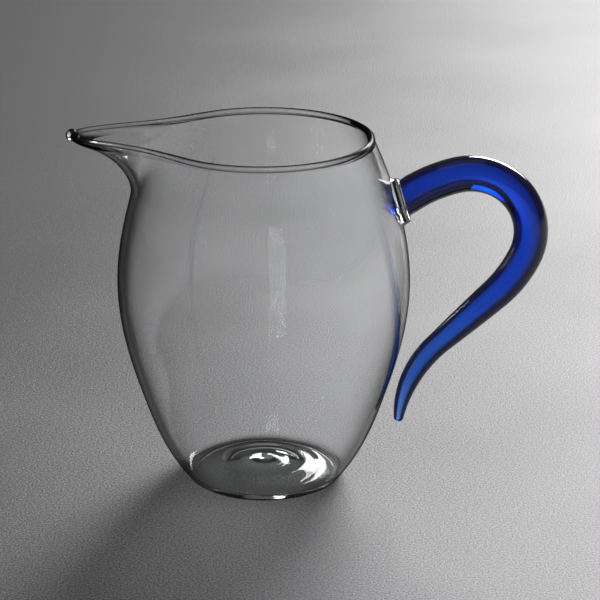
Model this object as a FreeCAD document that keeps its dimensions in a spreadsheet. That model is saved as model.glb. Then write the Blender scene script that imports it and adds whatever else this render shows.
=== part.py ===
import FreeCAD, Part
import math
import os

# Tea fairness pitcher, millimetres.
# The base centre is the origin, +Z is up, the spout points to -X and the handle to +X.
V = FreeCAD.Vector
doc = FreeCAD.newDocument("fairness_pitcher")
sheet = doc.addObject("Spreadsheet::Sheet", "Sizes")

# Driving sizes: the blown bulb
sizes = [
    ("foot_radius", 21.1),         # outside of the wall where it turns under to the foot
    ("belly_radius", 40.0),        # widest ring of the bulb
    ("rim_radius", 29.1),          # centre line of the rim bead
    ("rim_height", 96.6),
    ("wall", 1.4),
    ("rim_bead", 1.0),             # radius of the bead that the flame draws up round the mouth
    ("lip_bead", 0.65),            # its radius along the spout, where the glass is drawn thinner
    # Fullness of the bulb: the belly's share of the height, then shares of the way from the foot
    # up and out to the belly, and from the rim down and out to it
    ("belly_up_share", 0.595),
    ("low_up_share", 0.139),
    ("low_out_share", 0.296),
    ("side_up_share", 0.417),
    ("side_out_share", 0.651),
    ("flank_up_share", 0.696),
    ("flank_out_share", 0.899),
    ("shoulder_down_share", 0.425),
    ("shoulder_out_share", 0.618),
    # Foot and pushed-up bottom
    ("foot_round", 0.9),
    ("foot_land", 1.3),            # flat width of the ring that the pitcher stands on
    ("push_up", 4.2),              # rise of the hollow under the bottom
    ("bottom_thick", 1.9),         # glass at the middle of the bottom
    ("trough_floor", 2.7),         # lowest point inside, between the wall and the dome
    ("trough_round", 2.2),
    # Pulled spout
    ("spout_depth", 14.6),         # how far below the rim the spout leaves the wall
    ("spout_edge", 0.4),           # rim down to the top of the ellipse that its underside follows
    ("spout_out", 20.0),           # half width of that ellipse
    ("spout_reach", 51.2),         # axis of the bulb to the centre of the lip bead at the tip
    ("flare_angle", 120.0),        # where the lip outline leaves the rim circle
    ("flare_run", 13.0),
    ("throat_out", 28.2),
    ("throat_half", 9.6),
    ("throat_lift", 1.6),          # pull on the lip line half way along the spout
    ("tip_half", 9.15),
    ("lip_lift", 1.15),            # how far the tip of the spout stands above the rim
    ("tip_drop", 1.7),             # radius of the rounded drop of glass at the tip
    # Clear weld pad that carries the handle
    ("weld_drop", 17.1),           # rim down to the middle of the rod's root
    ("weld_stand", 2.0),           # wall to the face of the pad
    ("weld_edge", 0.7),
    ("weld_sag", 0.5),             # the soft pad sits lower than the rod by this much
    ("weld_spread", 2.6),          # how far the pad flows out over the wall
    ("weld_sink", 1.7),            # depth of the pad's foot under the face of the wall
    # Blue rod handle: radii of the glass
    ("root_radius", 5.05),
    ("crown_radius", 4.9),
    ("bend_radius", 4.65),
    ("arm_radius", 3.25),
    ("end_radius", 1.4),
    # Its centre line: tangent arcs with a straight run between the last two
    ("root_angle", 36.2),          # above level, where the rod leaves the pad
    ("rise_bow", 39.5),
    ("rise_angle", 22.1),
    ("hook_bow", 16.7),
    ("hook_angle", 129.5),
    ("drop_bow", 36.1),
    ("drop_angle", 21.3),
    ("arm_run", 20.9),
    ("curl_bow", 34.6),
    ("curl_angle", 41.6),
    ("tip_height", 16.3),          # table to the end of the centre line
]
for row, (name, value) in enumerate(sizes, 1):
    sheet.set("A%d" % row, name)
    sheet.set("B%d" % row, str(value))
    sheet.setAlias("B%d" % row, name)
doc.recompute()


def size(name):
    return float(sheet.get(name))


def feature(name, shape):
    item = doc.addObject("Part::Feature", name)
    item.Shape = shape
    return item


def loft(name, sections):
    item = doc.addObject("Part::Loft", name)
    item.Sections = sections
    item.Solid = True
    item.Ruled = False
    return item


def cut(name, base, tool):
    item = doc.addObject("Part::Cut", name)
    item.Base = base
    item.Tool = tool
    return item


def fuse(name, shapes):
    item = doc.addObject("Part::MultiFuse", name)
    item.Shapes = shapes
    return item


def rounded(name, base, height, radius):
    """Base with its level edges at a height rounded."""
    level = []
    for number, edge in enumerate(base.Shape.Edges, 1):
        if edge.BoundBox.ZLength < radius and abs(edge.BoundBox.ZMin - height) < radius:
            level.append((number, radius, radius))
    item = doc.addObject("Part::Fillet", name)
    item.Base = base
    item.Edges = level
    return item


def ball(name, radius, centre):
    item = doc.addObject("Part::Sphere", name)
    item.setExpression("Radius", radius)
    item.Placement.Base = centre
    return item


def round_section(name, point, turn, first, second, share):
    """Circle whose radius lies a share of the way from one size to another."""
    item = doc.addObject("Part::Circle", name)
    item.setExpression("Radius", "Sizes.%s * %.4f + Sizes.%s * %.4f" % (first, 1 - share, second, share))
    item.Placement = FreeCAD.Placement(point, turn)
    return item


def smooth(share):
    share = min(max(share, 0), 1)
    return share * share * (3 - 2 * share)


def mix(first, second, share):
    return first + (second - first) * share


# Wall profile: outer radius of the bulb as one smooth function of the height
rimOuter = size("rim_radius") + size("wall") / 2
openTop = size("rim_height") + size("lip_lift") + size("tip_drop") + size("rim_bead")
bellyHeight = size("rim_height") * size("belly_up_share")
levels = [(0, size("foot_radius"))]
for name in ("low", "side", "flank"):
    radius = mix(size("foot_radius"), size("belly_radius"), size(name + "_out_share"))
    levels.append((bellyHeight * size(name + "_up_share"), radius))
levels.append((bellyHeight, size("belly_radius")))
shoulder = mix(size("rim_height"), bellyHeight, size("shoulder_down_share"))
levels.append((shoulder, mix(rimOuter, size("belly_radius"), size("shoulder_out_share"))))
levels.append((size("rim_height"), rimOuter))
profile = Part.BSplineCurve()
profile.interpolate(
    Points=[V(radius, 0, height) for height, radius in levels],
    Parameters=[height for height, radius in levels])


def wall_radius(height):
    """Outer radius of the bulb at a height, carried on upright above the rim."""
    return profile.value(min(height, size("rim_height"))).x


def wall_lean(height):
    """Angle in degrees by which the outward normal of the wall tips upwards."""
    slope = profile.getD1(height)[1]
    return math.degrees(math.atan2(-slope.x, slope.z))


# Outline of the lip: a circle as far as the flare angle, then a curve that runs out to the tip
flare = math.radians(size("flare_angle"))
reach = 4 / 3 * math.tan((math.pi - flare) / 4)
corner = V(math.cos(flare), math.sin(flare), 0)
along = V(-math.sin(flare), math.cos(flare), 0)
cubic = [corner, corner + along * reach, V(-1, reach, 0), V(-1, 0, 0)]
roundPoles = [
    cubic[0],
    (cubic[0] + cubic[1] * 3) / 4,
    (cubic[1] + cubic[2]) / 2,
    (cubic[2] * 3 + cubic[3]) / 4,
    cubic[3],
]
lipPoles = [
    corner * size("rim_radius"),
    corner * size("rim_radius") + along * size("flare_run"),
    V(-size("throat_out"), size("throat_half"), 0),
    V(-size("spout_reach"), size("tip_half"), 0),
    V(-size("spout_reach"), 0, 0),
]


def ring(radius, tip, height):
    """Closed level section: an arc round the back, and two curves that meet at the tip in front."""
    pull = (tip - radius) / (size("spout_reach") - size("rim_radius"))
    far = []
    for circlePole, lipPole in zip(roundPoles, lipPoles):
        pulled = lipPole - circlePole * size("rim_radius")
        far.append(circlePole * radius + pulled * pull + V(0, 0, height))
    near = [V(pole.x, -pole.y, pole.z) for pole in far]
    out = Part.BezierCurve()
    out.setPoles(far)
    home = Part.BezierCurve()
    home.setPoles(near[::-1])
    back = Part.Arc(near[0], V(radius, 0, height), far[0])
    return Part.Wire([back.toShape(), out.toShape(), home.toShape()])


# Level sections of the bulb as shares of the way from its floor up to the spout, close together
# where the spout begins, and sections of the spout as angles on the ellipse of its underside
bulbShares = (0, 0.06, 0.14, 0.25, 0.38, 0.52, 0.66, 0.79, 0.88, 0.94, 0.98)
spoutAngles = (5, 16, 28, 42, 56, 68)
spoutStart = size("rim_height") - size("spout_depth")
spoutRise = size("spout_depth") - size("spout_edge")


def rings(side, gap, floor):
    """Sections of a surface that lies the given gap inside the outer one, from its floor up."""
    stations = []
    for share in bulbShares:
        height = mix(floor, spoutStart, share)
        stations.append((height, wall_radius(height) - gap))
    centre = wall_radius(spoutStart) + size("spout_out")
    for angle in spoutAngles:
        turn = math.radians(angle)
        height = spoutStart + (spoutRise + gap) * math.sin(turn)
        stations.append((height, centre - (size("spout_out") + gap) * math.cos(turn)))
    stations.append((size("rim_height") + gap, size("spout_reach") - gap))
    stations.append((openTop + gap, size("spout_reach") + size("wall") / 2 - gap))
    made = []
    for number, (height, tip) in enumerate(stations):
        made.append(feature("%s_ring_%d" % (side, number), ring(wall_radius(height) - gap, tip, height)))
    return made


# Blown bulb with its spout, solid at first
outerForm = loft("outer_form", rings("outer", 0, 0))
innerForm = loft("inner_form", rings("inner", size("wall"), size("trough_floor")))
doc.recompute()
outerRound = rounded("outer_round", outerForm, 0, size("foot_round"))
innerRound = rounded("inner_round", innerForm, size("trough_floor"), size("trough_round"))

# Pushed-up bottom: a shallow dome under the foot ring and the same dome, one bottom higher, inside
underAngle = math.radians(90 + wall_lean(0))
landEdge = size("foot_radius") - size("foot_round") * math.tan(underAngle / 2)
domeFoot = landEdge - size("foot_land")
domeRadius = (domeFoot ** 2 + size("push_up") ** 2) / (2 * size("push_up"))
domeCentre = V(0, 0, size("push_up") - domeRadius)
hollowUnder = ball("hollow_under", "%.6f mm" % domeRadius, domeCentre)
domeInside = ball("dome_inside", "%.6f mm + Sizes.bottom_thick * 1 mm" % domeRadius, domeCentre)
cavity = cut("cavity", innerRound, domeInside)

# Lip line: level round the bulb, then rising along the spout to its tip
rimLevel = V(0, 0, size("rim_height"))
lifts = [0, 0, size("throat_lift"), size("lip_lift"), size("lip_lift")]
lipCurve = Part.BezierCurve()
lipCurve.setPoles([pole + rimLevel + V(0, 0, lift) for pole, lift in zip(lipPoles, lifts)])
rimArc = Part.Arc(
    V(size("rim_radius"), 0, 0) + rimLevel,
    V(math.cos(flare / 2), math.sin(flare / 2), 0) * size("rim_radius") + rimLevel,
    lipPoles[0] + rimLevel)

# Rim bead: even round the mouth and thinner along the spout, made on the far side and mirrored
rimPath = feature("rim_path", rimArc.toShape())
upright = FreeCAD.Rotation(V(1, 0, 0), 90)
rimTube = doc.addObject("Part::Sweep", "rim_tube")
rimTube.Sections = [round_section("rim_section", rimArc.StartPoint, upright, "rim_bead", "rim_bead", 0)]
rimTube.Spine = (rimPath, ["Edge1"])
rimTube.Solid = True
rimTube.Frenet = False
lipSteps = 8
lipSections = []
for step in range(lipSteps + 1):
    share = step / lipSteps
    turn = FreeCAD.Rotation(V(0, 0, 1), lipCurve.tangent(share)[0])
    lipSections.append(round_section(
        "lip_section_%d" % step, lipCurve.value(share), turn, "rim_bead", "lip_bead", smooth(2 * share)))
lipTube = loft("lip_tube", lipSections)
farBead = fuse("far_bead", [rimTube, lipTube])
nearBead = doc.addObject("Part::Mirroring", "near_bead")
nearBead.Source = farBead
nearBead.Normal = V(0, 1, 0)
tipDrop = ball("tip_drop", "Sizes.tip_drop", lipCurve.value(1))

# Everything above the lip line is cut away
trimSide = size("spout_reach") + size("belly_radius")
sideCurve = Part.BezierCurve()
sideCurve.setPoles([V(pole.x, 0, pole.z) for pole in lipCurve.getPoles()])
lipTip = sideCurve.value(1)
flareEnd = sideCurve.value(0)
trimLines = Part.makePolygon([
    lipTip,
    V(-trimSide, 0, lipTip.z),
    V(-trimSide, 0, 2 * openTop),
    V(trimSide, 0, 2 * openTop),
    V(trimSide, 0, flareEnd.z),
    flareEnd])
trimOutline = feature("trim_outline", Part.Face(Part.Wire([sideCurve.toShape()] + trimLines.Edges)))
trim = doc.addObject("Part::Extrusion", "above_lip")
trim.Base = trimOutline
trim.DirMode = "Custom"
trim.Dir = V(0, 1, 0)
trim.LengthFwd = 2 * trimSide
trim.Symmetric = True
trim.Solid = True

# Clear weld pad: a soft disc square to the wall, turned about its own axis
weldHeight = size("rim_height") - size("weld_drop")
padTurn = FreeCAD.Rotation(V(0, 1, 0), 90 - wall_lean(weldHeight))
padAxis = padTurn.multVec(V(0, 0, 1))
padDown = padTurn.multVec(V(1, 0, 0))
wallPoint = V(wall_radius(weldHeight), 0, weldHeight)
faceRadius = size("root_radius") + size("weld_sag")
padRadius = faceRadius + size("weld_edge")
padSpread = padRadius + size("weld_spread")
padShoulder = size("weld_stand") - size("weld_edge")
flow = Part.BezierCurve()
flow.setPoles([V(padSpread, 0, -size("weld_sink")), V(padRadius, 0, 0), V(padRadius, 0, padShoulder)])
half = size("weld_edge") * math.sqrt(0.5)
roundEdge = Part.Arc(
    V(padRadius, 0, padShoulder),
    V(faceRadius + half, 0, padShoulder + half),
    V(faceRadius, 0, size("weld_stand")))
padEnds = Part.makePolygon([
    V(faceRadius, 0, size("weld_stand")),
    V(0, 0, size("weld_stand")),
    V(0, 0, -size("weld_sink")),
    V(padSpread, 0, -size("weld_sink"))])
padEdges = [flow.toShape(), roundEdge.toShape()] + padEnds.Edges
padOutline = feature("pad_outline", Part.Face(Part.Wire(padEdges)))
pad = doc.addObject("Part::Revolution", "weld_pad")
pad.Source = padOutline
pad.Axis = V(0, 0, 1)
pad.Angle = 360
pad.Solid = True
pad.Placement = FreeCAD.Placement(wallPoint + padDown * size("weld_sag"), padTurn)

blown = fuse("blown_with_pad", [outerRound, pad])
hollow = cut("hollowed", blown, cavity)
raised = cut("raised_bottom", hollow, hollowUnder)
lipped = cut("lipped", raised, trim)
glass = fuse("glass_body", [lipped, farBead, nearBead, tipDrop])
glass.Label = "glass_body"


# Blue rod handle: the legs of its centre line, which lies in the plane Y = 0, are arcs, given as radius
# and turn, and straight runs, given as length and no turn
def leg_length(leg):
    span, turn = leg
    return span * math.radians(abs(turn)) if turn else span


def leg_step(leg, heading, distance):
    """Move and new heading after a distance along a leg."""
    span, turn = leg
    before = math.radians(heading)
    if not turn:
        return V(math.cos(before), 0, math.sin(before)) * distance, heading
    bow = math.copysign(span, turn)
    after = before + distance / bow
    move = V(math.sin(after) - math.sin(before), 0, math.cos(before) - math.cos(after)) * bow
    return move, math.degrees(after)


def run_through(legs, point, heading):
    for leg in legs:
        move, heading = leg_step(leg, heading, leg_length(leg))
        point = point + move
    return point, heading


# The arm below the hook is drawn to the length that brings its tip to the stated height
rootPoint = wallPoint + padAxis * size("weld_stand")
hook = [(size("rise_bow"), -size("rise_angle")), (size("hook_bow"), -size("hook_angle"))]
arm = [
    (size("drop_bow"), -size("drop_angle")),
    (size("arm_run"), 0),
    (size("curl_bow"), size("curl_angle")),
]
hookPoint, hookHeading = run_through(hook, rootPoint, size("root_angle"))
armDrop = run_through(arm, V(0, 0, 0), hookHeading)[0].z
armScale = (size("tip_height") - hookPoint.z) / armDrop
legs = hook + [(span * armScale, turn) for span, turn in arm]


def along_handle(distance):
    """Point and heading in degrees on the centre line, a distance from the pad's face."""
    point = rootPoint
    heading = size("root_angle")
    for leg in legs:
        step = min(distance, leg_length(leg))
        move, heading = leg_step(leg, heading, step)
        point = point + move
        distance -= step
    return point, heading


marks = [0]
for leg in legs:
    marks.append(marks[-1] + leg_length(leg))
riseEnd, hookEnd, dropEnd, armEnd, tipEnd = marks[1:]

# Sections of the rod: from, to, shares of the way between, radius at each end and how fast it narrows
fifths = (0.2, 0.4, 0.6, 0.8, 1)
spans = [
    (0, size("root_radius"), (0,), "root_radius", "crown_radius", 1),
    (0, size("root_radius"), (1,), "crown_radius", "crown_radius", 1),
    (riseEnd, hookEnd, (0,) + fifths, "crown_radius", "bend_radius", 1),
    (hookEnd, armEnd, fifths, "bend_radius", "arm_radius", 1.7),
    (armEnd, tipEnd, (0.2, 0.4, 0.6, 0.8, 0.93, 1), "arm_radius", "end_radius", 2),
]
rodSections = []
for begin, end, shares, first, second, power in spans:
    for share in shares:
        point, heading = along_handle(mix(begin, end, share))
        turn = FreeCAD.Rotation(V(0, 1, 0), 90 - heading)
        name = "rod_section_%d" % len(rodSections)
        rodSections.append(round_section(name, point, turn, first, second, share ** power))
rodSections[0].Placement.Rotation = padTurn
rod = loft("rod", rodSections)
rodEnd = ball("rod_end", "Sizes.end_radius", along_handle(tipEnd)[0])
handle = fuse("blue_handle", [rod, rodEnd])
handle.Label = "blue_handle"
doc.recompute()

for item in doc.Objects:
    if "Invalid" in item.State or "Error" in item.State:
        raise RuntimeError("%s failed: %s" % (item.Name, item.State))
os.makedirs("parts", exist_ok=True)
for item in (glass, handle):
    if item.Shape.isNull() or not item.Shape.isValid() or len(item.Shape.Solids) != 1:
        raise RuntimeError("%s is not one sound solid" % item.Label)
    item.Shape.exportStep("parts/%s.step" % item.Label)
    print(item.Label, round(item.Shape.Volume), "mm3", len(item.Shape.Faces), "faces")
box = glass.Shape.optimalBoundingBox(False)
box.add(handle.Shape.optimalBoundingBox(False))
print("overall %.1f x %.1f x %.1f" % (box.XLength, box.YLength, box.ZLength))
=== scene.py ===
import bpy
import bmesh
import math
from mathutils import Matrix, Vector


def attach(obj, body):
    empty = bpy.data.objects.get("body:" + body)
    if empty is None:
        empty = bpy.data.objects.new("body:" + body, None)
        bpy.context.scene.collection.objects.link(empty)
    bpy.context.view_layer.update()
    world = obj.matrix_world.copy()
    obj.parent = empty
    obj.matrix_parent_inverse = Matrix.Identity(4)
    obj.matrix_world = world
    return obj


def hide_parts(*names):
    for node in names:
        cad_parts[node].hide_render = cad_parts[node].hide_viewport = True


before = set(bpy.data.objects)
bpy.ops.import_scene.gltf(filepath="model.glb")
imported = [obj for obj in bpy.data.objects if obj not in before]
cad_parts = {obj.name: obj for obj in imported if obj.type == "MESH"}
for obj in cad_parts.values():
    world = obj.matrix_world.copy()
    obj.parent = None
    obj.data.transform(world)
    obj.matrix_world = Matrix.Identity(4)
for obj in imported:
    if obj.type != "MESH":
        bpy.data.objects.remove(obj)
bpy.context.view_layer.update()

# Tea fairness pitcher in clear and blue lamp-worked glass. The sizes below are in mm and degrees,
# the scene in metres. The spout points to -X and the handle to +X.
mm = 0.001


# Shader helpers

# A socket that takes part in sums
class Wire:
    def __init__(self, shader, socket):
        self.shader = shader
        self.socket = socket

    def sum(self, operation, first, second):
        return self.shader.node("ShaderNodeMath", {"operation": operation},
                                {0: first, 1: second})["Value"]

    def __add__(self, other):
        return self.sum("ADD", self, other)

    def __radd__(self, other):
        return self.sum("ADD", other, self)

    def __sub__(self, other):
        return self.sum("SUBTRACT", self, other)

    def __rsub__(self, other):
        return self.sum("SUBTRACT", other, self)

    def __mul__(self, other):
        return self.sum("MULTIPLY", self, other)

    def __rmul__(self, other):
        return self.sum("MULTIPLY", other, self)

    def __lt__(self, other):
        return self.sum("LESS_THAN", self, other)


# Node tree of one material or of the world
class Shader:
    def __init__(self, owner):
        owner.use_nodes = True
        self.tree = owner.node_tree
        self.tree.nodes.clear()

    def node(self, kind, settings={}, inputs={}):
        made = self.tree.nodes.new(kind)
        for key, value in settings.items():
            setattr(made, key, value)
        for key, value in inputs.items():
            if isinstance(value, Wire):
                self.tree.links.new(value.socket, made.inputs[key])
            else:
                made.inputs[key].default_value = value
        return {output.name: Wire(self, output) for output in made.outputs if output.enabled}

    # product of two values, kept between 0 and 1
    def clamped(self, first, second):
        return self.node("ShaderNodeMath", {"operation": "MULTIPLY", "use_clamp": True},
                         {0: first, 1: second})["Value"]

    def blend(self, factor, first, second):
        return self.node("ShaderNodeMix", {"data_type": "RGBA"},
                         {0: factor, 6: first, 7: second})["Result"]

    def mixed(self, factor, first, second):
        return self.node("ShaderNodeMixShader", {}, {0: factor, 1: first, 2: second})["Shader"]


# Modelling helpers

def smooth(share):
    share = min(max(share, 0), 1)
    return share * share * (3 - 2 * share)


def mix(first, second, share):
    return first + (second - first) * share


def bezier(poles, share):
    while len(poles) > 1:
        poles = [mix(before, after, share) for before, after in zip(poles, poles[1:])]
    return poles[0]


# Points on the arc that rounds a corner, given the directions that its two lines leave in
def rounded(corner, first, second, radius, steps):
    half = first.angle(second) / 2
    middle = (first.normalized() + second.normalized()).normalized()
    centre = corner + middle * radius / math.sin(half)
    start = corner + first.normalized() * radius / math.tan(half) - centre
    end = corner + second.normalized() * radius / math.tan(half) - centre
    return [centre + start.slerp(end, step / steps) * radius for step in range(steps + 1)]


# Points down a soft mound, from one distance from the axis out to nearly another
def mound(rise, foot, inner, outer, steps):
    return [Vector((inner + (outer - inner) * step / steps,
                    foot + rise * (1 + math.cos(math.pi * step / steps)) / 2))
            for step in range(steps)]


# Adds a primitive with nothing else selected
def startPiece(add, name, **settings):
    bpy.ops.object.select_all(action="DESELECT")
    add(**settings)
    piece = bpy.context.object
    piece.name = piece.data.name = name
    bpy.ops.object.transform_apply(location=True, rotation=True, scale=True)
    return piece


# In edit mode, selects just the vertices whose places pass a test
def pick(piece, test):
    bpy.ops.mesh.select_mode(type="VERT")
    bpy.ops.mesh.select_all(action="DESELECT")
    shape = bmesh.from_edit_mesh(piece.data)
    for vertex in shape.verts:
        vertex.select_set(test(vertex.co))
    shape.select_flush_mode()
    bmesh.update_edit_mesh(piece.data)


# Extrudes the selected ring from one (centre, angle, radius) to the next in the plane Y = 0
def drawOn(ring, after):
    centre, angle, radius = ring
    newCentre, newAngle, newRadius = after
    bpy.ops.mesh.extrude_region_move(TRANSFORM_OT_translate={"value": newCentre - centre})
    if abs(newAngle - angle) > 1e-6:
        bpy.ops.transform.rotate(value=angle - newAngle, orient_axis="Y", orient_type="GLOBAL",
                                 center_override=newCentre)
    if abs(newRadius - radius) > 1e-9:
        bpy.ops.transform.resize(value=(newRadius / radius,) * 3, center_override=newCentre)


# Draws a round rod of glass through its rings, from a filled disc on
def drawRod(name, sides, sections):
    centre, angle, radius = sections[0]
    piece = startPiece(bpy.ops.mesh.primitive_circle_add, name, vertices=sides, fill_type="NGON",
                       radius=radius, location=centre, rotation=(0, math.pi / 2 + angle, 0))
    bpy.ops.object.mode_set(mode="EDIT")
    bpy.ops.mesh.select_all(action="SELECT")
    for before, after in zip(sections, sections[1:]):
        drawOn(before, after)
    bpy.ops.mesh.select_all(action="SELECT")
    bpy.ops.mesh.normals_make_consistent(inside=False)
    bpy.ops.object.mode_set(mode="OBJECT")
    return piece


def chosen(piece):
    bpy.ops.object.select_all(action="DESELECT")
    bpy.context.view_layer.objects.active = piece
    piece.select_set(True)


# Joins another closed shape to a piece as one surface
def unite(piece, other):
    modifier = piece.modifiers.new("union", "BOOLEAN")
    modifier.operation = "UNION"
    modifier.solver = "EXACT"
    modifier.object = other
    chosen(piece)
    bpy.ops.object.modifier_apply(modifier=modifier.name)
    bpy.data.objects.remove(other)


def smoothed(piece):
    chosen(piece)
    bpy.ops.object.shade_smooth_by_angle(angle=math.radians(40))


def aim(thing, target):
    heading = Vector(target) - thing.location
    thing.rotation_euler = heading.to_track_quat("-Z", "Y").to_euler()


# Camera
view = {"place": (0.0099, -0.6203, 0.2732), "target": (0.0099, 0, 0.0508), "lens": 144, "film": 36}
cameraData = bpy.data.cameras.new("camera")
cameraData.lens = view["lens"]
cameraData.sensor_width = view["film"]
camera = bpy.data.objects.new("camera", cameraData)
camera.location = view["place"]
aim(camera, view["target"])
bpy.context.collection.objects.link(camera)
bpy.context.scene.camera = camera
print("camera set")


# Blown bulb, from the foot to the rim
bulb = {
    # height, outer radius and slope of the wall
    "wall": [(0, 21.1, 0.829), (7.989, 26.694, 0.578), (23.968, 33.404, 0.332),
             (40.004, 38.091, 0.225), (57.477, 40, -0.017), (79.973, 36.104, -0.304),
             (96.6, 29.8, -0.447)],
    "thick": 1.4,
    "rimRadius": 29.1,
    "rimHeight": 96.6,
    "bead": 1.0,
    "beadTurn": (254, -26),         # where its round starts inside and ends outside
    "beadRoom": 1.1,                # how far below the rim's middle the wall goes into it
    "footRound": 0.9,
    "footLand": 1.3,
    "footRings": (3.4, 2, 1),
    # pushed-up bottom, seen from below; the mound starts a little in and up from the land
    "dome": {"rise": 4.2, "round": 0.9, "in": 0.7, "up": 0.35},
    # the bottom seen from inside
    "trough": {"height": 2.1, "round": 2.2, "wallFrom": 5},
    "bump": {"radius": 7.5, "rise": 2.0},
    "shelf": {"edge": 11, "foot": 17.5, "rise": 1.4},
    "crowd": 74,                    # how much the rings crowd together toward the rim
    "steps": {"bump": 16, "shelf": 14, "trough": 7, "wall": 32, "shoulder": 24, "bead": 22,
              "foot": 6, "land": 4, "dome": 20},
    "turns": 240,
}
# Pulled spout: its underside follows an ellipse, its lip is a curve from the flare out to the tip
spout = {
    "start": 82.0,
    "foot": 8.0,                    # below the start by this, the wall stays as blown
    "rise": 14.2,
    "out": 20.0,
    "arc": 68,                      # how much of the ellipse is used
    "ease": 0.5,                    # how softly the underside leaves the wall
    "lean": 0.6,                    # slope of the underside at the lip
    "over": 0.3,                    # how far it still goes out above the rim
    "reach": 51.2,
    "flare": math.radians(120),
    "run": 13.0,
    "throat": (-28.2, 9.6),
    "tip": (-51.2, 9.15),
    "lifts": [0, 0, 1.6, 1.15, 1.15],
    "bead": 0.65,
    "beadTurn": 60,                 # how far the bead's round turns out on the way to the tip
    "thin": 0.6,                    # how much of the wall is left at the lip
    "drop": 1.7,
}


# Value at a share t of a run, from its values and slopes at both ends
def eased(low, lowSlope, high, highSlope, run, t):
    return ((1 + 2 * t) * (1 - t) ** 2 * low + t * (1 - t) ** 2 * run * lowSlope
            + t * t * (3 - 2 * t) * high - t * t * (1 - t) * run * highSlope)


# Outer radius of the bulb and its slope at a height
def wallAt(height):
    marks = bulb["wall"]
    height = min(max(height, 0), marks[-1][0])
    for (low, lowRadius, lowSlope), (high, highRadius, highSlope) in zip(marks, marks[1:]):
        if height <= high:
            break
    run = high - low
    t = (height - low) / run
    radius = eased(lowRadius, lowSlope, highRadius, highSlope, run, t)
    slope = (6 * t * (1 - t) * (highRadius - lowRadius) / run
             + (1 - t) * (1 - 3 * t) * lowSlope + t * (3 * t - 2) * highSlope)
    return radius, slope


# Outline of the glass: from the axis out over the bottom, up inside, over the rim and back below
def bulbLine():
    steps, dome, trough = bulb["steps"], bulb["dome"], bulb["trough"]
    bump, shelf = bulb["bump"], bulb["shelf"]
    footRadius, footSlope = wallAt(0)
    footLean = Vector((footSlope, 1))
    outward, inward = Vector((1, 0)), Vector((-1, 0))
    landEdge = footRadius - bulb["footRound"] * math.tan(outward.angle(footLean) / 2)
    domeEdge = landEdge - bulb["footLand"]

    floor = trough["height"]
    line = mound(bump["rise"], floor + shelf["rise"], 0, bump["radius"], steps["bump"])
    line += mound(shelf["rise"], floor, shelf["edge"], shelf["foot"], steps["shelf"])
    line.append(Vector((shelf["foot"], floor)))
    radius, slope = wallAt(floor)
    corner = Vector((radius - bulb["thick"], floor))
    line += rounded(corner, inward, Vector((slope, 1)), trough["round"], steps["trough"])

    low, middle, high = trough["wallFrom"], spout["start"], bulb["rimHeight"] - bulb["beadRoom"]
    rings = [low + (middle - low) * step / steps["wall"] for step in range(steps["wall"])]
    crowd = math.radians(bulb["crowd"])
    rings += [middle + (high - middle) * math.sin(crowd * step / steps["shoulder"])
              / math.sin(crowd) for step in range(steps["shoulder"] + 1)]
    line += [Vector((wallAt(height)[0] - bulb["thick"], height)) for height in rings]
    for step in range(steps["bead"] + 1):
        turn = math.radians(mix(*bulb["beadTurn"], step / steps["bead"]))
        line.append(Vector((bulb["rimRadius"] + bulb["bead"] * math.cos(turn),
                            bulb["rimHeight"] + bulb["bead"] * math.sin(turn))))
    line += [Vector((wallAt(height)[0], height)) for height in [*rings[::-1], *bulb["footRings"]]]

    foot = Vector((footRadius, 0))
    line += rounded(foot, footLean, inward, bulb["footRound"], steps["foot"])
    land = Vector((domeEdge, 0))
    line += rounded(land, outward, Vector((-1, 0.5)), dome["round"], steps["land"])
    line += mound(dome["rise"] - dome["up"], dome["up"], 0, domeEdge - dome["in"],
                  steps["dome"])[::-1]
    return line


flareTurn = Vector((math.cos(spout["flare"]), math.sin(spout["flare"])))
flareAlong = Vector((-flareTurn.y, flareTurn.x))
lipPoles = [
    flareTurn * bulb["rimRadius"],
    flareTurn * bulb["rimRadius"] + flareAlong * spout["run"],
    Vector(spout["throat"]),
    Vector(spout["tip"]),
    Vector((-spout["reach"], 0)),
]
spoutFoot = wallAt(spout["start"])[0]
arcEnd = math.sin(math.radians(spout["arc"]))


# How far the spout's middle stands out from the bulb, for a surface a gap inside the outer one
def pullAt(height, gap):
    radius = wallAt(height)[0]
    fallen = spoutFoot - radius
    rise, out = spout["rise"] + gap, spout["out"] + gap
    up = (height - spout["start"]) / rise
    if up <= arcEnd:
        softened = (fallen + math.sqrt(fallen ** 2 + spout["ease"])) / 2
        return softened + out * (1 - math.sqrt(1 - max(up, 0) ** 2))
    low = spout["start"] + rise * arcEnd
    high = bulb["rimHeight"] + gap
    lowReach = spoutFoot + out * (1 - math.sqrt(1 - arcEnd ** 2)) - gap
    highReach = spout["reach"] - gap
    if height > high:
        reach = highReach + spout["over"] * (1 - math.exp((high - height) * 2))
    else:
        slope = out / rise * arcEnd / math.sqrt(1 - arcEnd ** 2)
        reach = eased(lowReach, slope, highReach, spout["lean"], high - low,
                      (height - low) / (high - low))
    return reach + gap - radius


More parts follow.
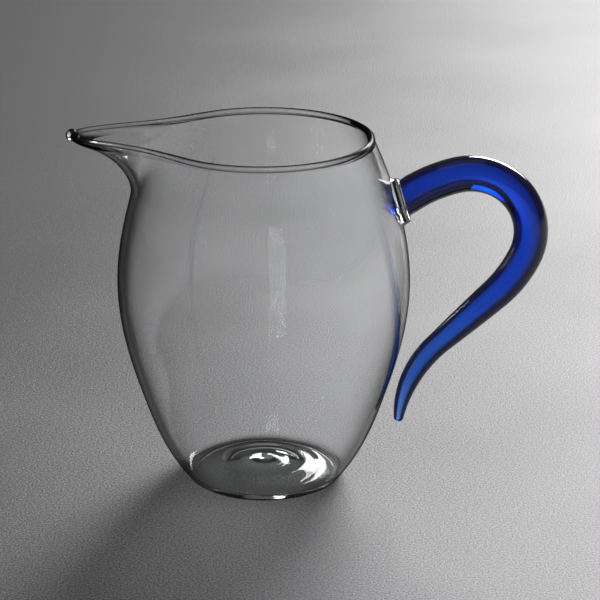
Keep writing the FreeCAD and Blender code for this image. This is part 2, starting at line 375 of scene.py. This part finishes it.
# New place of a point of the round bulb once the spout is pulled, in mm
def pulled(x, y, z):
    out = Vector((x, abs(y)))
    angle = math.atan2(abs(y), x)
    if angle <= spout["flare"] or z < spout["start"] - spout["foot"]:
        return x, y, z
    side = 1 if y >= 0 else -1
    t = (angle - spout["flare"]) / (math.pi - spout["flare"])
    turn = Vector((math.cos(angle), math.sin(angle)))
    lip = bezier(lipPoles, t)
    lift = bezier(spout["lifts"], t)
    around = Vector((out.length - bulb["rimRadius"], z - bulb["rimHeight"]))
    if around.length < bulb["bead"] + 0.01:     # a point of the bead
        along = bezier([after - before for before, after in zip(lipPoles, lipPoles[1:])], t)
        along.normalize()
        normal = Vector((along.y, -along.x))
        radius = mix(bulb["bead"], spout["bead"], smooth(2 * t))
        turned = math.atan2(around.y, around.x) - math.radians(spout["beadTurn"]) * smooth(t)
        place = lip + normal * radius * math.cos(turned)
        return place.x, side * place.y, bulb["rimHeight"] + lift + radius * math.sin(turned)
    share = (z - spout["start"]) / (bulb["rimHeight"] - spout["start"])
    height = z + lift * smooth(share)
    gap = (wallAt(z)[0] - out.length) * mix(1, spout["thin"], smooth(2 * t) * smooth(share))
    pull = pullAt(height, gap) / (spout["reach"] - bulb["rimRadius"])
    place = turn * (wallAt(height)[0] - gap) + (lip - turn * bulb["rimRadius"]) * pull
    return place.x, side * place.y, height


line = bulbLine()
body = startPiece(bpy.ops.mesh.primitive_circle_add, "glassBulb", vertices=len(line), radius=0.03)
for vertex, point in zip(body.data.vertices, line):
    vertex.co = Vector((point.x, 0, point.y)) * mm
bpy.ops.object.mode_set(mode="EDIT")
pick(body, lambda place: place.x < 1e-7)        # the outline stays open along the axis
bpy.ops.mesh.delete(type="EDGE_FACE")
bpy.ops.mesh.select_all(action="SELECT")
bpy.ops.mesh.spin(steps=bulb["turns"], angle=2 * math.pi, center=(0, 0, 0), axis=(0, 0, 1))
bpy.ops.mesh.select_all(action="SELECT")
bpy.ops.mesh.remove_doubles(threshold=1e-6)
bpy.ops.mesh.normals_make_consistent(inside=False)
bpy.ops.object.mode_set(mode="OBJECT")
for vertex in body.data.vertices:
    vertex.co = Vector(pulled(*(vertex.co / mm))) * mm
print("bulb blown and spout pulled:", len(body.data.polygons), "faces")

# Rounded drop of glass at the tip of the lip
tip = Vector((-spout["reach"], 0, bulb["rimHeight"] + spout["lifts"][-1])) * mm
drop = startPiece(bpy.ops.mesh.primitive_uv_sphere_add, "tipDrop", segments=48, ring_count=24,
                  radius=spout["drop"] * mm, location=tip)
unite(body, drop)

# Weld pad: a soft disc of clear glass square to the wall, drawn up ring by ring
weld = {
    "height": 79.5,
    "stand": 2.0,
    "root": 5.05,
    "sag": 0.5,
    "edge": 0.7,
    # height above the wall and radius of each ring, then the radius of the last ring on top
    "rings": [(-1.15, 8.05), (-0.8, 7.55), (-0.4, 7.1), (0, 6.75), (0.5, 6.45), (1, 6.3),
              (1.3, 6.25)],
    "top": 3,
    "sides": 96,
    "gap": 0.02,                    # hair of air between the pad and the rod
}
weldRadius, weldSlope = wallAt(weld["height"])
weldLean = math.atan2(-weldSlope, 1)
weldAxis = Vector((math.cos(weldLean), 0, math.sin(weldLean)))
weldPoint = Vector((weldRadius, 0, weld["height"]))
padBase = weldPoint + Vector((weldAxis.z, 0, -weldAxis.x)) * weld["sag"]
padRings = list(weld["rings"])
for step in range(1, 7):
    turn = math.radians(15 * step)
    padRings.append((weld["stand"] - weld["edge"] * (1 - math.sin(turn)),
                     weld["root"] + weld["sag"] + weld["edge"] * math.cos(turn)))
padRings.append((weld["stand"], weld["top"]))
padSections = [((padBase + weldAxis * height) * mm, -weldLean, radius * mm)
               for height, radius in padRings]
pad = drawRod("weldPad", weld["sides"], padSections)
unite(body, pad)
smoothed(body)
print("tip drop and weld pad joined:", len(body.data.polygons), "faces")


# Blue rod handle, from its root on the pad to its free tip
handle = {
    "rootAngle": 36.2,
    # radius and turn of each arc of the centre line, or the length of a straight run and 0
    "legs": [(39.5, -22.1), (16.7, -129.5), (35.87, -21.3), (20.77, 0), (34.38, 41.6)],
    "radii": {"neck": 4.9, "top": 4.9, "bend": 4.65, "sweep": 3.25, "tip": 1.4},
    "taper": {"sweep": 1.7, "tip": 2},      # higher keeps the rod thick for longer
    "settle": 5,                    # length in which the pad's round becomes that of the rod
    "sides": 64,
    "step": 1.6,
}


# Point and heading on the centre line at a distance from the root
def alongHandle(distance):
    point = weldPoint + weldAxis * (weld["stand"] + weld["gap"])
    heading = math.radians(handle["rootAngle"])
    for span, turn in handle["legs"]:
        length = span * math.radians(abs(turn)) if turn else span
        step = min(distance, length)
        if turn:
            bow = math.copysign(span, turn)
            after = heading + step / bow
            point = point + Vector((math.sin(after) - math.sin(heading), 0,
                                    math.cos(heading) - math.cos(after))) * bow
            heading = after
        else:
            point = point + Vector((math.cos(heading), 0, math.sin(heading))) * step
        distance -= step
    return point, heading


ends = [0]
for span, turn in handle["legs"]:
    ends.append(ends[-1] + (span * math.radians(abs(turn)) if turn else span))


def rodRadius(distance):
    radii, taper = handle["radii"], handle["taper"]
    if distance < ends[1]:
        return mix(weld["root"], radii["neck"], smooth(distance / handle["settle"]))
    if distance < ends[2]:
        return mix(radii["top"], radii["bend"], (distance - ends[1]) / (ends[2] - ends[1]))
    if distance < ends[4]:
        share = (distance - ends[2]) / (ends[4] - ends[2])
        return mix(radii["bend"], radii["sweep"], share ** taper["sweep"])
    share = (distance - ends[4]) / (ends[5] - ends[4])
    return mix(radii["sweep"], radii["tip"], share ** taper["tip"])


rodSections = [(alongHandle(0)[0] * mm, -weldLean, weld["root"] * mm)]
count = round(ends[-1] / handle["step"])
for step in range(1, count + 1):
    distance = ends[-1] * step / count
    point, heading = alongHandle(distance)
    settle = smooth(distance / handle["settle"])
    rodSections.append((point * mm, -mix(weldLean, heading, settle), rodRadius(distance) * mm))
endPoint, endHeading = alongHandle(ends[-1])
endAxis = Vector((math.cos(endHeading), 0, math.sin(endHeading)))
endRadius = handle["radii"]["tip"]
for step in range(1, 7):            # rounded free end
    turn = math.radians(14 * step)
    onward = endAxis * endRadius * math.sin(turn)
    rodSections.append(((endPoint + onward) * mm, -endHeading, endRadius * math.cos(turn) * mm))
rod = drawRod("blueRod", handle["sides"], rodSections)
smoothed(rod)
print("rod drawn:", len(rod.data.polygons), "faces")

# Clear and blue glass
glasses = {
    "clear": {
        "colour": (0.985, 0.995, 1, 1),
        "ior": 1.47,
        "wave": 0.03,
        # painted edge shade: as the glass turns away its colour is painted toward this dark one,
        # from a start on and growing by a slope
        "paintedEdgeShade": {"colour": (0.03, 0.03, 0.035, 1), "start": 0.24, "slope": 1.5},
        # then a painted dark line of shade at the edges, which starts sooner on the rim, above a
        # height
        "line": {"depth": 0.92, "start": 0.5, "slope": 2.5, "rimStart": 0.03, "rim": 95.7},
        # light that its shadow lets through in the middle, and how much less at the edges
        "shadow": {"through": 0.17, "less": 0.15},
    },
    "blue": {
        "colour": (0.97, 0.985, 1, 1),
        "ior": 1.5,
        "wave": 0.02,
        # painted edge shade of the rod: its edges are painted dark blue
        "paintedEdgeShade": {"colour": (0, 0.005, 0.04, 1), "start": 0, "slope": 4.8},
        "line": {"depth": 0.4, "start": 0.45, "slope": 2.5, "rimStart": 0.45, "rim": 95.7},
        "shadow": {"through": 0.1, "less": 0.1},
        # colour that the light takes on inside the rod
        "soak": {"colour": (0.025, 0.46, 0.91, 1), "density": 560},
    },
}


def glassMaterial(name, look):
    material = bpy.data.materials.new(name)
    shader = Shader(material)
    place = shader.node("ShaderNodeTexCoord")["Object"]

    # where the rod is fused to the pad there is no surface between them
    root = (weldPoint + weldAxis * (weld["stand"] + weld["gap"] / 2)) * mm
    fromRoot = shader.node("ShaderNodeVectorMath", {"operation": "SUBTRACT"},
                           {0: place, 1: root})["Vector"]
    rise = shader.node("ShaderNodeVectorMath", {"operation": "DOT_PRODUCT"},
                       {0: fromRoot, 1: weldAxis})["Value"]
    reach = shader.node("ShaderNodeVectorMath", {"operation": "LENGTH"}, {0: fromRoot})["Value"]
    fused = (rise * rise < (2 * weld["gap"] * mm) ** 2) * (reach < weld["root"] * mm)

    # glass with the faint waves of hand work
    ripple = shader.node("ShaderNodeTexNoise", {},
                         {"Vector": place, "Scale": 55, "Detail": 1})["Fac"]
    normal = shader.node("ShaderNodeBump", {}, {
        "Height": ripple, "Strength": look["wave"], "Distance": 0.01})["Normal"]
    facing = shader.node("ShaderNodeLayerWeight", {}, {"Blend": 0.5, "Normal": normal})["Facing"]
    paintedEdgeShade = look["paintedEdgeShade"]
    # painted edge shade: the base colour darkens as the surface turns away
    turned = shader.clamped(facing - paintedEdgeShade["start"], paintedEdgeShade["slope"])
    glass = shader.node("ShaderNodeBsdfPrincipled", {}, {
        "Base Color": shader.blend(turned * turned, look["colour"], paintedEdgeShade["colour"]),
        "Roughness": 0, "IOR": look["ior"], "Transmission Weight": 1, "Normal": normal})["BSDF"]

    # painted shade: a dark line painted at its edges, where the glass turns away
    paintedDarkEdge = shader.node("ShaderNodeBsdfPrincipled", {}, {
        "Base Color": (0.004, 0.004, 0.005, 1), "Roughness": 1, "Specular IOR Level": 0})["BSDF"]
    height = shader.node("ShaderNodeSeparateXYZ", {}, {"Vector": place})["Z"]
    line = look["line"]
    start = (height < line["rim"] * mm) * (line["start"] - line["rimStart"]) + line["rimStart"]
    paintedLineShare = shader.clamped(facing - start, line["slope"])
    withPaintedEdges = shader.mixed(paintedLineShare * paintedLineShare * line["depth"], glass, paintedDarkEdge)

    # soft shadow
    clear = shader.node("ShaderNodeBsdfTransparent")["BSDF"]
    shadow = look["shadow"]
    passing = shadow["through"] - facing * facing * shadow["less"]
    isShadow = shader.node("ShaderNodeLightPath")["Is Shadow Ray"]
    shaded = shader.mixed(isShadow * passing, withPaintedEdges, clear)

    result = {"Surface": shader.mixed(fused, shaded, clear)}
    if "soak" in look:
        result["Volume"] = shader.node("ShaderNodeVolumeAbsorption", {}, {
            "Color": look["soak"]["colour"], "Density": look["soak"]["density"]})["Volume"]
    shader.node("ShaderNodeOutputMaterial", {}, result)
    return material


body.data.materials.clear()
body.data.materials.append(glassMaterial("clearGlass", glasses["clear"]))
rod.data.materials.clear()
rod.data.materials.append(glassMaterial("blueGlass", glasses["blue"]))
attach(body, "root")
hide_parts("glass_body")
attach(rod, "root")
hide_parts("blue_handle")
print("glass coloured")

# Table top
tableTop = {
    # painted light falloff: its colour turns from painted shade at the left to painted light at
    # the right, and darker toward the back: share of pale at the middle, then what a metre to the
    # right adds and a metre to the back takes away
    "dark": (0.08, 0.077, 0.078, 1),
    "pale": (0.82, 0.8, 0.81, 1),
    "middle": 0.26,
    "right": 2.65,
    "back": 0.42,
    "grain": {"scale": 1900, "detail": 3, "depth": 1.3, "bump": 0.5},
    "clouds": {"scale": 9, "detail": 2, "depth": 0.3},
    "roughness": 0.65,
    "gloss": 0.2,
}
table = startPiece(bpy.ops.mesh.primitive_plane_add, "table", size=6)
tableMaterial = bpy.data.materials.new("table")
shader = Shader(tableMaterial)
place = shader.node("ShaderNodeTexCoord")["Object"]
grain, cloud = [shader.node("ShaderNodeTexNoise", {}, {
    "Vector": place, "Scale": tableTop[kind]["scale"], "Detail": tableTop[kind]["detail"]})["Fac"]
    for kind in ("grain", "clouds")]
sides = shader.node("ShaderNodeSeparateXYZ", {}, {"Vector": place})
# painted shade to the left and back and painted light to the right, with grain and clouds on top
shade = sides["X"] * tableTop["right"] - sides["Y"] * tableTop["back"] + tableTop["middle"]
shade = shade + (grain - 0.5) * tableTop["grain"]["depth"]
shade = shade + (cloud - 0.5) * tableTop["clouds"]["depth"]
grainBump = shader.node("ShaderNodeBump", {}, {
    "Height": grain, "Strength": tableTop["grain"]["bump"], "Distance": 0.0002})["Normal"]
paper = shader.node("ShaderNodeBsdfPrincipled", {}, {
    "Base Color": shader.blend(shade, tableTop["dark"], tableTop["pale"]),
    "Roughness": tableTop["roughness"], "Specular IOR Level": tableTop["gloss"],
    "Normal": grainBump})["BSDF"]
shader.node("ShaderNodeOutputMaterial", {}, {"Surface": paper})
table.data.materials.append(tableMaterial)
print("table laid")

# Light: the world, and soft lights in metres and watts
surround = (0.15, 0.15, 0.15, 1)
lights = {
    "window": {"place": (0.8, 1.92, 0.88), "target": (0.12, 0, 0), "size": (1.25, 0.8),
               "power": 9.2, "spread": 50},
    "overhead": {"place": (0, 0.1, 1.3), "target": (0, 0, 0), "size": (0.9, 0.9),
                 "power": 0.5, "spread": 180},
}
world = bpy.data.worlds.new("studio")
bpy.context.scene.world = world
shader = Shader(world)
sky = shader.node("ShaderNodeBackground", {}, {"Color": surround, "Strength": 1})["Background"]
shader.node("ShaderNodeOutputWorld", {}, {"Surface": sky})
for name, light in lights.items():
    lampData = bpy.data.lights.new(name, "AREA")
    lampData.shape = "RECTANGLE"
    lampData.size, lampData.size_y = light["size"]
    lampData.energy = light["power"]
    lampData.spread = math.radians(light["spread"])
    lamp = bpy.data.objects.new(name, lampData)
    lamp.location = light["place"]
    aim(lamp, light["target"])
    bpy.context.collection.objects.link(lamp)
print("lights set")

bpy.context.scene.view_settings.view_transform = "Standard"
